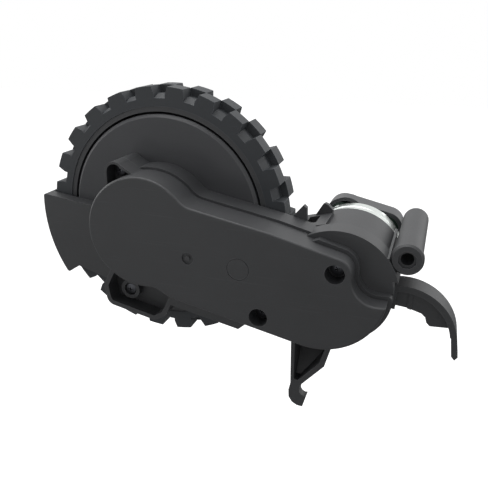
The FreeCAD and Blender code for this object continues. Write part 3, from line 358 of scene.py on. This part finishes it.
    def scuffs(
        self, tree: bpy.types.NodeTree, place: bpy.types.NodeSocket
    ) -> bpy.types.NodeSocket:
        """Find faint scuff lines that run along the arm, about 30 times as long as wide.

        Args:
            tree: Node tree of the material.
            place: Object coordinates.

        Returns:
            Share of the worn colour in the lines.
        """
        along = add_node(
            tree,
            "ShaderNodeMapping",
            {
                "Rotation": (0.0, math.radians(self.scuff_turn_deg), 0.0),
                "Scale": (self.scuff_stretch, 1.0, 1.0),
            },
            {"Vector": place},
        ).outputs["Vector"]
        line = add_node(
            tree,
            "ShaderNodeTexNoise",
            {"Scale": 1.0 / (self.scuff_mm * MM), "Detail": 2.0, "Roughness": 0.6},
            {"Vector": along},
        ).outputs["Fac"]
        return self.weighted(tree, self.ramped(tree, line, SCUFF_SPAN), self.scuff_share)

    def edges(
        self, tree: bpy.types.NodeTree, patches: bpy.types.NodeSocket
    ) -> bpy.types.NodeSocket:
        """Find the outer edges and paint a highlight along them in patches, for the light that the
        rounded edges catch.

        Args:
            tree: Node tree of the material.
            patches: Value that breaks the painted highlight up.

        Returns:
            Share of the painted highlight colour along the edges.
        """
        surface = add_node(tree, "ShaderNodeNewGeometry").outputs
        rounded = add_node(
            tree, "ShaderNodeBevel", {"samples": 6, "Radius": self.edge_mm * MM}
        ).outputs["Normal"]
        turn = add_node(
            tree,
            "ShaderNodeVectorMath",
            {"operation": "DOT_PRODUCT"},
            {0: rounded, 1: surface["Normal"]},
        ).outputs["Value"]
        near = self.ramped(tree, turn, TURN_SPAN)
        proud = self.ramped(tree, surface["Pointiness"], PROUD_SPAN)
        line = add_node(
            tree, "ShaderNodeMath", {"operation": "MULTIPLY"}, {0: near, 1: proud}
        ).outputs[0]
        return add_node(
            tree,
            "ShaderNodeMath",
            {"operation": "MULTIPLY"},
            {0: line, 1: self.ramped(tree, patches, PATCH_SPAN)},
        ).outputs[0]


# Each finish's lighter colour of wear below also serves as a painted highlight along its outer
# edges.
# Moulded ABS with a fine spark-eroded grain: an even, dry charcoal that catches soft light.
HOUSING_ABS = Finish(
    "abs_moulded_charcoal", "housing_plastic", Pattern.MOULDED, "#38393b", "#313234",
    0.52, ior=1.53, grain_mm=0.45, relief_mm=0.012, wear_and_highlight="#5a5b5d",
)
# The same ABS from a smoother mould face: a little glossier than the housing.
DRUM_ABS = Finish(
    "abs_moulded_drum", "drum_plastic", Pattern.MOULDED, "#3b3c3f", "#353639",
    0.46, ior=1.53, grain_mm=0.5, relief_mm=0.008, wear_and_highlight="#5a5b5d",
)
# Black nitrile rubber: blue-grey black with a thin dry bloom, rougher than the plastic.
TYRE_RUBBER = Finish(
    "rubber_nitrile_black", "tyre_rubber", Pattern.RUBBER, "#2f3236", "#272a2d",
    0.62, spread=0.08, ior=1.52, grain_mm=0.7, relief_mm=0.03, wear_and_highlight="#4e5257",
)
# Glass-filled nylon rim: dark, slightly mottled by its fibres.
RIM_NYLON = Finish(
    "nylon_glass_filled", "rim_plastic", Pattern.MOULDED, "#37383a", "#303133",
    0.5, ior=1.53, grain_mm=0.6, relief_mm=0.015, wear_and_highlight="#505254",
)
# Zinc-plated deep-drawn steel: pale, with faint lines along the draw.
CAN_STEEL = Finish(
    "steel_zinc_drawn", "can_steel", Pattern.DRAWN, "#e6eae7", "#d3d8d5",
    0.34, spread=0.05, metallic=1.0, grain_mm=0.35, relief_mm=0.004,
)
# Smooth dark grey cap plastic.
CAP_ABS = Finish(
    "abs_cap_grey", "cap_plastic", Pattern.MOULDED, "#414245", "#3a3b3d",
    0.45, ior=1.53, grain_mm=0.5, relief_mm=0.01, wear_and_highlight="#606164",
)
# Green solder mask over woven glass laminate.
BOARD_MASK = Finish(
    "laminate_solder_mask", "board_laminate", Pattern.BOARD, "#20352b", "#1a2b23",
    0.35, ior=1.55, grain_mm=0.8, relief_mm=0.01,
)
# Sintered ferrite: dull dark grey.
MAGNET_FERRITE = Finish(
    "ferrite_sintered", "magnet_ferrite", Pattern.RUBBER, "#2c2c2f", "#252528",
    0.6, ior=1.6, grain_mm=0.3, relief_mm=0.01,
)
# Ground steel: bright with fine rings round the axis.
SHAFT_STEEL = Finish(
    "steel_ground", "shaft_steel", Pattern.TURNED, "#c4c5c8", "#aeb0b3",
    0.3, spread=0.05, metallic=1.0, grain_mm=0.3, relief_mm=0.003,
)
# Black-oxide screw steel: dark with a dull metallic sheen.
SCREW_OXIDE = Finish(
    "steel_black_oxide", "screw_steel", Pattern.TURNED, "#56575b", "#3f4044",
    0.4, spread=0.06, metallic=1.0, grain_mm=0.3, relief_mm=0.004, wear_and_highlight="#85878b",
)
# Natural acetal: off-white and waxy.
GEAR_ACETAL = Finish(
    "acetal_natural", "gear_acetal", Pattern.MOULDED, "#e2e1d6", "#d4d3c6",
    0.38, ior=1.48, grain_mm=0.8, relief_mm=0.01,
)
# Machined brass.
PINION_BRASS = Finish(
    "brass_machined", "pinion_brass", Pattern.TURNED, "#d2ac63", "#b8924c",
    0.3, spread=0.05, metallic=1.0, grain_mm=0.3, relief_mm=0.003,
)
# Sintered bronze, soaked in oil.
BUSH_BRONZE = Finish(
    "bronze_sintered", "bush_bronze", Pattern.RUBBER, "#a87f4e", "#8c683e",
    0.45, spread=0.08, metallic=1.0, grain_mm=0.3, relief_mm=0.006,
)
FINISHES = (
    HOUSING_ABS, DRUM_ABS, TYRE_RUBBER, RIM_NYLON, CAN_STEEL, CAP_ABS, BOARD_MASK,
    MAGNET_FERRITE, SHAFT_STEEL, SCREW_OXIDE, GEAR_ACETAL, PINION_BRASS, BUSH_BRONZE,
)


def pick(*objects: bpy.types.Object) -> None:
    """Select these objects alone and make the first one active.

    Args:
        objects: Objects to select.
    """
    bpy.ops.object.select_all(action="DESELECT")
    for item in objects:
        item.select_set(True)
    bpy.context.view_layer.objects.active = objects[0]


def apply_modifier(piece: bpy.types.Object, kind: str, **settings: object) -> None:
    """Add a modifier with its settings and apply it.

    Args:
        piece: Object that takes the modifier.
        kind: Blender's name of the modifier type.
        settings: Attributes of the modifier.
    """
    pick(piece)
    modifier = piece.modifiers.new(kind.lower(), kind)
    for name, value in settings.items():
        setattr(modifier, name, value)
    bpy.ops.object.modifier_apply(modifier=modifier.name)


def choose(
    piece: bpy.types.Object, test: Callable[[Vector, Vector], bool], points: bool = False
) -> None:
    """Select the faces or points of one piece by place and normal, in edit mode.

    Args:
        piece: Active mesh object.
        test: Says of a place in millimetres and a normal whether it is chosen.
        points: Whether points are chosen and not faces.
    """
    bpy.ops.object.mode_set(mode="OBJECT")
    mesh = piece.data
    for group in (mesh.vertices, mesh.edges, mesh.polygons):
        group.foreach_set("select", [False] * len(group))
    for part in mesh.vertices if points else mesh.polygons:
        place = part.co if points else part.center
        part.select = test(place / MM, part.normal)
    bpy.context.tool_settings.mesh_select_mode = (points, False, not points)
    bpy.ops.object.mode_set(mode="EDIT")


def extrude(along_mm: float) -> None:
    """Extrude the chosen faces along Z by a length in millimetres."""
    bpy.ops.mesh.extrude_region_move(
        TRANSFORM_OT_translate={"value": (0.0, 0.0, along_mm * MM)}
    )


def taper(x: float, y: float) -> None:
    """Scale what is chosen about the Z axis by two factors."""
    bpy.ops.transform.resize(value=(x, y, 1.0), center_override=(0.0, 0.0, 0.0))


def settle(
    piece: bpy.types.Object, at_mm: tuple[float, float, float], tilt_deg: float, turn_deg: float
) -> None:
    """Stand a piece modelled along Z in its place, and bake the place into its mesh.

    Args:
        piece: Mesh object modelled along Z at the origin.
        at_mm: Where its origin goes.
        tilt_deg: Tilt about X, which lays its axis along Y.
        turn_deg: Turn about its own axis before the tilt.
    """
    bpy.ops.object.mode_set(mode="OBJECT")
    pick(piece)
    piece.matrix_world = (
        Matrix.Translation(Vector(at_mm) * MM)
        @ Matrix.Rotation(math.radians(tilt_deg), 4, "X")
        @ Matrix.Rotation(math.radians(turn_deg), 4, "Z")
    )
    bpy.ops.object.transform_apply(location=True, rotation=True, scale=True)


def smooth(piece: bpy.types.Object, angle_deg: float) -> None:
    """Shade a piece smooth, with its large faces kept flat.

    Args:
        piece: Mesh object to shade.
        angle_deg: Turn between faces above which an edge stays sharp.
    """
    pick(piece)
    bpy.ops.object.shade_smooth_by_angle(angle=math.radians(angle_deg))
    apply_modifier(piece, "WEIGHTED_NORMAL", keep_sharp=True)


def dress(piece: bpy.types.Object, finish: Finish, body: Body) -> None:
    """Give a finished piece its material and its body.

    Args:
        piece: Finished mesh object in the row frame.
        finish: Finish of its surface.
        body: Rigid body that it moves with.
    """
    piece.data.materials.clear()
    piece.data.materials.append(finish.material())
    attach(piece, body.value)
    log.info("piece %s: %d faces", piece.name, len(piece.data.polygons))


@dataclass
class RoundedCopy:
    """A CAD solid taken over with its moulded edges rounded."""

    node: str
    name: str
    finish: Finish
    body: Body
    edge_mm: float
    segments: int = 2
    sharp_deg: float = 32.0
    smooth_deg: float = 35.0
    merge_mm: float = 0.002
    level_deg: float = 0.6

    def build(self) -> None:
        """Copy the solid's mesh, join its triangles, and round its edges."""
        source = frame["nodes"][self.node]
        pick(source)
        bpy.ops.object.duplicate()
        piece = bpy.context.active_object
        piece.name = self.name
        for key in list(piece.keys()):
            del piece[key]
        piece.parent = None
        bpy.ops.object.mode_set(mode="EDIT")
        bpy.ops.mesh.select_all(action="SELECT")
        bpy.ops.mesh.remove_doubles(threshold=self.merge_mm * MM)
        bpy.ops.mesh.dissolve_limited(angle_limit=math.radians(self.level_deg))
        bpy.ops.object.mode_set(mode="OBJECT")
        apply_modifier(
            piece,
            "BEVEL",
            width=self.edge_mm * MM,
            segments=self.segments,
            limit_method="ANGLE",
            angle_limit=math.radians(self.sharp_deg),
            use_clamp_overlap=True,
            harden_normals=False,
        )
        smooth(piece, self.smooth_deg)
        dress(piece, self.finish, self.body)
        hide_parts(self.node)


@dataclass(frozen=True)
class Seat:
    """Where one screw sits, and what it belongs to."""

    name: str
    at_mm: tuple[float, float, float]
    turn_deg: float
    node: str
    body: Body = Body.GEARBOX
    tilt_deg: float = 90.0


@dataclass
class CrossScrew:
    """Pan-head screw with a tapered cross recess, modelled once for each size.

    The head, shank and drive are given by their radius.
    """

    head_mm: float
    height_mm: float
    shank_mm: float
    length_mm: float
    drive_mm: float
    slot_mm: float = 0.4
    deep_mm: float = 0.8
    dome_mm: float = 0.25
    tip_mm: float = 0.8
    facets: int = 48
    rim_share: float = 0.35
    ring_share: float = 0.3
    rise_shares: tuple[float, float] = (0.6, 0.4)
    tip_share: float = 0.35
    foot_shares: tuple[float, float] = (0.4, 0.6)
    smooth_deg: float = 30.0

    def build(self, *seats: Seat) -> None:
        """Model the screw once and copy it to its seats.

        Args:
            seats: Seats of this size of screw.
        """
        model = self.model()
        for seat in seats:
            self.copy(model, seat)
        bpy.data.objects.remove(model)

    def model(self) -> bpy.types.Object:
        """Model the screw along Z, its seat at the origin and its head upwards.

        Returns:
            The screw, which is then copied to its seats.
        """
        bpy.ops.object.select_all(action="DESELECT")
        rim = self.height_mm - self.dome_mm
        bpy.ops.mesh.primitive_cylinder_add(
            vertices=self.facets,
            radius=self.head_mm * MM,
            depth=rim * MM,
            location=(0.0, 0.0, rim / 2 * MM),
        )
        piece = bpy.context.active_object
        bpy.ops.object.transform_apply(location=True)
        choose(piece, lambda place, normal: normal.z > FACING)
        bpy.ops.mesh.bevel(offset=self.rim_share * rim * MM, segments=4, affect="EDGES")
        choose(piece, lambda place, normal: normal.z > SQUARE)
        ring = self.ring_share * self.head_mm
        for share in self.rise_shares:
            bpy.ops.mesh.inset(thickness=ring * MM, depth=share * self.dome_mm * MM)
        choose(piece, lambda place, normal: normal.z < -FACING)
        bpy.ops.mesh.inset(thickness=(self.head_mm - self.shank_mm) * MM, depth=0.0)
        extrude(self.tip_mm - self.length_mm)
        extrude(-self.tip_mm)
        taper(self.tip_share, self.tip_share)
        bpy.ops.object.mode_set(mode="OBJECT")
        self.recess(piece)
        smooth(piece, self.smooth_deg)
        return piece

    def recess(self, piece: bpy.types.Object) -> None:
        """Sink the two tapered blades of the cross into the head.

        Args:
            piece: Screw without its recess.
        """
        bpy.ops.object.select_all(action="DESELECT")
        bpy.ops.mesh.primitive_cube_add(size=1.0, location=(0.0, 0.0, self.height_mm * MM))
        blade = bpy.context.active_object
        blade.scale = Vector((2 * self.drive_mm, self.slot_mm, 2 * self.deep_mm)) * MM
        bpy.ops.object.transform_apply(location=True, scale=True)
        choose(blade, lambda place, normal: normal.z < -FACING)
        taper(*self.foot_shares)
        bpy.ops.object.mode_set(mode="OBJECT")
        for turn in (0.0, 90.0):
            blade.rotation_euler.z = math.radians(turn)
            bpy.context.view_layer.update()
            apply_modifier(
                piece, "BOOLEAN", operation="DIFFERENCE", object=blade, solver="EXACT"
            )
        bpy.data.objects.remove(blade)

    def copy(self, model: bpy.types.Object, seat: Seat) -> None:
        """Copy the modelled screw to one seat.

        Args:
            model: The modelled screw.
            seat: Its place, turn, body and CAD node.
        """
        pick(model)
        bpy.ops.object.duplicate()
        piece = bpy.context.active_object
        piece.name = seat.name
        settle(piece, seat.at_mm, seat.tilt_deg, seat.turn_deg)
        dress(piece, SCREW_OXIDE, seat.body)
        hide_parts(seat.node)


@dataclass
class DrawnCan:
    """Deep-drawn motor can: rounded front, bearing nose, pressed groove and staked rear rim."""

    axis_mm: tuple[float, float] = (-16.5, -9.8)
    radius_mm: float = 13.65
    front_mm: float = -6.3
    back_mm: float = 23.3
    corner_mm: float = 0.9
    nose_mm: float = 3.4
    nose_depth_mm: float = 2.1
    bore_mm: float = 1.1
    bore_depth_mm: float = 4.2
    groove_mm: float = 19.4
    groove_half_mm: float = 0.35
    groove_depth_mm: float = 0.22
    stakes: int = 6
    stake_deg: float = 7.0
    stake_rim_mm: float = 0.5
    stake_depth_mm: float = 0.25
    rim_mm: float = 0.4
    facets: int = 120
    turn_deg: float = 1.5
    smooth_deg: float = 30.0

    def build(self) -> None:
        """Model the can along Z and lay it along the motor's axis."""
        bpy.ops.object.select_all(action="DESELECT")
        depth = self.back_mm - self.front_mm
        bpy.ops.mesh.primitive_cylinder_add(
            vertices=self.facets,
            radius=self.radius_mm * MM,
            depth=depth * MM,
            location=(0.0, 0.0, (self.front_mm + depth / 2) * MM),
        )
        piece = bpy.context.active_object
        piece.name = "drawn_can"
        bpy.ops.object.transform_apply(location=True)
        self.front(piece)
        self.groove(piece)
        self.rear(piece)
        settle(piece, (self.axis_mm[0], 0.0, self.axis_mm[1]), -90.0, self.turn_deg)
        smooth(piece, self.smooth_deg)
        dress(piece, CAN_STEEL, Body.GEARBOX)
        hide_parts("motor_can")

    def front(self, piece: bpy.types.Object) -> None:
        """Round the drawn corner and raise the bearing nose with its bore.

        Args:
            piece: Plain can along Z.
        """
        choose(piece, lambda place, normal: normal.z < -FACING)
        bpy.ops.mesh.bevel(offset=self.corner_mm * MM, segments=5, affect="EDGES")
        choose(piece, lambda place, normal: normal.z < -SQUARE)
        face_mm = self.radius_mm - self.corner_mm
        bpy.ops.mesh.inset(thickness=(face_mm - self.nose_mm) * MM, depth=0.0)
        extrude(-self.nose_depth_mm)
        bpy.ops.mesh.inset(thickness=(self.nose_mm - self.bore_mm) * MM, depth=0.0)
        extrude(self.bore_depth_mm)

    def groove(self, piece: bpy.types.Object) -> None:
        """Press a shallow round groove into the side near the rear.

        Args:
            piece: Can along Z.
        """
        for step in (-1.0, 0.0, 1.0):
            choose(piece, lambda place, normal: True)
            bpy.ops.mesh.bisect(
                plane_co=(0.0, 0.0, (self.groove_mm + step * self.groove_half_mm) * MM),
                plane_no=(0.0, 0.0, 1.0),
            )
        near_mm = self.groove_half_mm / 2
        choose(piece, lambda place, normal: abs(place.z - self.groove_mm) < near_mm, points=True)
        factor = 1.0 - self.groove_depth_mm / self.radius_mm
        taper(factor, factor)

    def rear(self, piece: bpy.types.Object) -> None:
        """Round the rear rim and stake it over the end bell at even places.

        Args:
            piece: Can along Z.
        """
        choose(piece, lambda place, normal: normal.z > FACING)
        bpy.ops.mesh.bevel(offset=self.rim_mm * MM, segments=3, affect="EDGES")
        sector = 360.0 / self.stakes
        choose(
            piece,
            lambda place, normal: abs(normal.z) < 1.0 - FACING
            and place.z > self.groove_mm + self.groove_half_mm
            and math.degrees(math.atan2(place.y, place.x)) % sector < self.stake_deg,
        )
        bpy.ops.mesh.inset(thickness=self.stake_rim_mm * MM, depth=-self.stake_depth_mm * MM)
        bpy.ops.object.mode_set(mode="OBJECT")


@dataclass
class Module:
    """The whole wheel module."""

    def copies(self) -> list[RoundedCopy]:
        """List the solids whose own shape is shown with rounded edges.

        Returns:
            One rounded copy for each of them.
        """
        return [
            RoundedCopy("gearbox_cover", "cover_shell", HOUSING_ABS, Body.GEARBOX, 0.12),
            RoundedCopy("gearbox_base", "base_shell", HOUSING_ABS, Body.GEARBOX, 0.15),
            RoundedCopy("drum_plate", "drum_shell", DRUM_ABS, Body.GEARBOX, 0.2),
            RoundedCopy("tyre", "tyre_tread", TYRE_RUBBER, Body.WHEEL, 0.35, 3),
            RoundedCopy("wheel_rim", "rim_shell", RIM_NYLON, Body.WHEEL, 0.25),
            RoundedCopy("motor_rear_cap", "cap_shell", CAP_ABS, Body.GEARBOX, 0.3),
            RoundedCopy("motor_end_bell", "bell_ring", CAN_STEEL, Body.GEARBOX, 0.15),
            RoundedCopy("wheel_washer", "axle_washer", SHAFT_STEEL, Body.WHEEL, 0.1),
        ]

    def screws(self) -> None:
        """Model the three sizes of screw on their seats."""
        CrossScrew(head_mm=1.9, height_mm=1.3, shank_mm=1.1, length_mm=7.0, drive_mm=0.95).build(
            Seat("cover_screw_lobe", (-15.8, -10.3, -2.9), 20.0, "cover_screws"),
            Seat("cover_screw_edge", (-34.607, -10.3, -17.247), 65.0, "cover_screws"),
        )
        CrossScrew(head_mm=1.7, height_mm=1.3, shank_mm=1.0, length_mm=8.6, drive_mm=0.9).build(
            Seat("drum_screw_ear", (-74.697, -7.6, 16.417), 35.0, "drum_screws"),
            Seat("drum_screw_pocket", (-76.998, -2.6, -20.386), 80.0, "drum_screws"),
        )
        CrossScrew(
            head_mm=3.2, height_mm=1.8, shank_mm=1.2, length_mm=8.0, drive_mm=1.7,
            slot_mm=0.6, deep_mm=1.1, dome_mm=0.4,
        ).build(
            Seat("axle_screw", (-66.697, 11.4, 2.217), 10.0, "wheel_screw", Body.WHEEL, -90.0)
        )

    def build(self) -> None:
        """Build every piece."""
        for copy in self.copies():
            copy.build()
        DrawnCan().build()
        self.screws()

    def paint_frame(self) -> None:
        """Give every CAD node the finish of its slot in the record."""
        by_slot = {finish.slot: finish for finish in FINISHES}
        for part in frame["record"]["subparts"]:
            node = frame["nodes"][part["node"]]
            node.data.materials.clear()
            node.data.materials.append(by_slot[part["material_slot"]].material())


@dataclass(frozen=True)
class Softbox:
    """One square lamp of the studio."""

    name: str
    place_mm: tuple[float, float, float]
    size_mm: float
    watts: float


@dataclass
class Studio:
    """Pale floor, soft light and the camera."""

    softboxes: tuple[Softbox, ...] = (
        Softbox("key_softbox", (-110.0, 40.0, 330.0), 300.0, 0.8),
        Softbox("fill_softbox", (-380.0, -220.0, 160.0), 300.0, 0.1),
        Softbox("side_strip", (-420.0, -70.0, 60.0), 200.0, 0.4),
        Softbox("rim_softbox", (260.0, 240.0, 180.0), 260.0, 0.35),
        Softbox("front_softbox", (170.0, -380.0, 60.0), 300.0, 0.16),
        Softbox("glint_card", (-193.0, -364.0, -124.0), 90.0, 0.05),
    )
    aim_mm: tuple[float, float, float] = (-45.0, 0.0, -5.0)
    camera_mm: tuple[float, float, float] = (5.227, -145.728, 53.591)
    forward: tuple[float, float, float] = (-0.29629, 0.88872, -0.34984)
    lens_mm: float = 44.52
    sensor_mm: float = 36.0
    clip_mm: float = 5.0
    floor_drop_mm: float = 110.0
    floor_mm: float = 3000.0
    floor_grey: float = 0.35
    bright_side: tuple[float, float, float] = (0.05, 0.42, 0.9)
    side_span: tuple[float, float] = (-0.1, 0.9)
    dim: float = 0.045
    bright: float = 0.75

    def build(self) -> None:
        """Add the floor, the lamps, the world and the camera."""
        self.floor()
        self.world()
        for box in self.softboxes:
            self.lamp(box)
        self.camera()
        bpy.context.scene.view_settings.view_transform = "Standard"

    def floor(self) -> None:
        """Add the floor, white to the camera and grey to the object."""
        bpy.ops.object.select_all(action="DESELECT")
        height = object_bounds()[0].z - self.floor_drop_mm * MM
        bpy.ops.mesh.primitive_plane_add(
            size=self.floor_mm * MM, location=(0.0, 0.0, height)
        )
        floor = bpy.context.active_object
        floor.name = "studio_floor"
        made = bpy.data.materials.new("floor_paper_white")
        made.use_nodes = True
        tree = made.node_tree
        tree.nodes.clear()
        ray = add_node(tree, "ShaderNodeLightPath").outputs["Is Camera Ray"]
        grey = (self.floor_grey, self.floor_grey, self.floor_grey, 1.0)
        matt = add_node(tree, "ShaderNodeBsdfDiffuse", {"Color": grey}).outputs["BSDF"]
        white = add_node(
            tree, "ShaderNodeEmission", {"Color": WHITE}, {"Strength": ray}
        ).outputs["Emission"]
        mixed = add_node(
            tree, "ShaderNodeAddShader", links={0: matt, 1: white}
        ).outputs["Shader"]
        add_node(tree, "ShaderNodeOutputMaterial", links={"Surface": mixed})
        floor.data.materials.append(made)
        floor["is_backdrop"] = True

    def world(self) -> None:
        """Set a surround, bright overhead and dim in front, that shows white itself.

        The camera sees it white, and so do polished metal and anything clear.
        """
        world = bpy.data.worlds.new("studio_surround")
        bpy.context.scene.world = world
        world.use_nodes = True
        tree = world.node_tree
        tree.nodes.clear()
        rays = add_node(tree, "ShaderNodeLightPath").outputs
        shown = rays["Is Camera Ray"]
        for kind in ("Is Glossy Ray", "Is Transmission Ray"):
            shown = add_node(
                tree, "ShaderNodeMath", {"operation": "MAXIMUM"}, {0: shown, 1: rays[kind]}
            ).outputs[0]
        towards = add_node(tree, "ShaderNodeTexCoord").outputs["Generated"]
        height = add_node(
            tree,
            "ShaderNodeVectorMath",
            {"operation": "DOT_PRODUCT", 1: self.bright_side},
            {0: towards},
        ).outputs["Value"]
        level = add_node(
            tree,
            "ShaderNodeMapRange",
            {
                "From Min": self.side_span[0],
                "From Max": self.side_span[1],
                "To Min": self.dim,
                "To Max": self.bright,
            },
            {"Value": height},
        ).outputs["Result"]
        soft = add_node(
            tree, "ShaderNodeBackground", {"Color": WHITE}, {"Strength": level}
        ).outputs["Background"]
        white = add_node(
            tree, "ShaderNodeBackground", {"Color": WHITE, "Strength": 1.0}
        ).outputs["Background"]
        mixed = add_node(
            tree, "ShaderNodeMixShader", links={0: shown, 1: soft, 2: white}
        ).outputs["Shader"]
        add_node(tree, "ShaderNodeOutputWorld", links={"Surface": mixed})

    def lamp(self, box: Softbox) -> None:
        """Add one softbox aimed at the middle of the module.

        Args:
            box: Name, place, side and power of the lamp.
        """
        bpy.ops.object.light_add(type="AREA", location=Vector(box.place_mm) * MM)
        lamp = bpy.context.active_object
        lamp.name = box.name
        lamp.data.size = box.size_mm * MM
        lamp.data.energy = box.watts
        aim = Vector(self.aim_mm) * MM - lamp.location
        lamp.rotation_euler = aim.to_track_quat("-Z", "Y").to_euler()

    def camera(self) -> None:
        """Add the camera at the photograph's place and angle."""
        bpy.ops.object.camera_add(location=Vector(self.camera_mm) * MM)
        camera = bpy.context.active_object
        camera.name = "photo_camera"
        camera.rotation_euler = Vector(self.forward).to_track_quat("-Z", "Y").to_euler()
        camera.data.lens = self.lens_mm
        camera.data.sensor_width = self.sensor_mm
        camera.data.clip_start = self.clip_mm * MM
        bpy.context.scene.camera = camera


def main() -> None:
    """Build the module and its studio."""
    logging.basicConfig(level=logging.INFO, format="%(message)s")
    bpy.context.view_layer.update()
    module = Module()
    module.paint_frame()
    module.build()
    Studio().build()


if __name__ == "__main__":
    main()
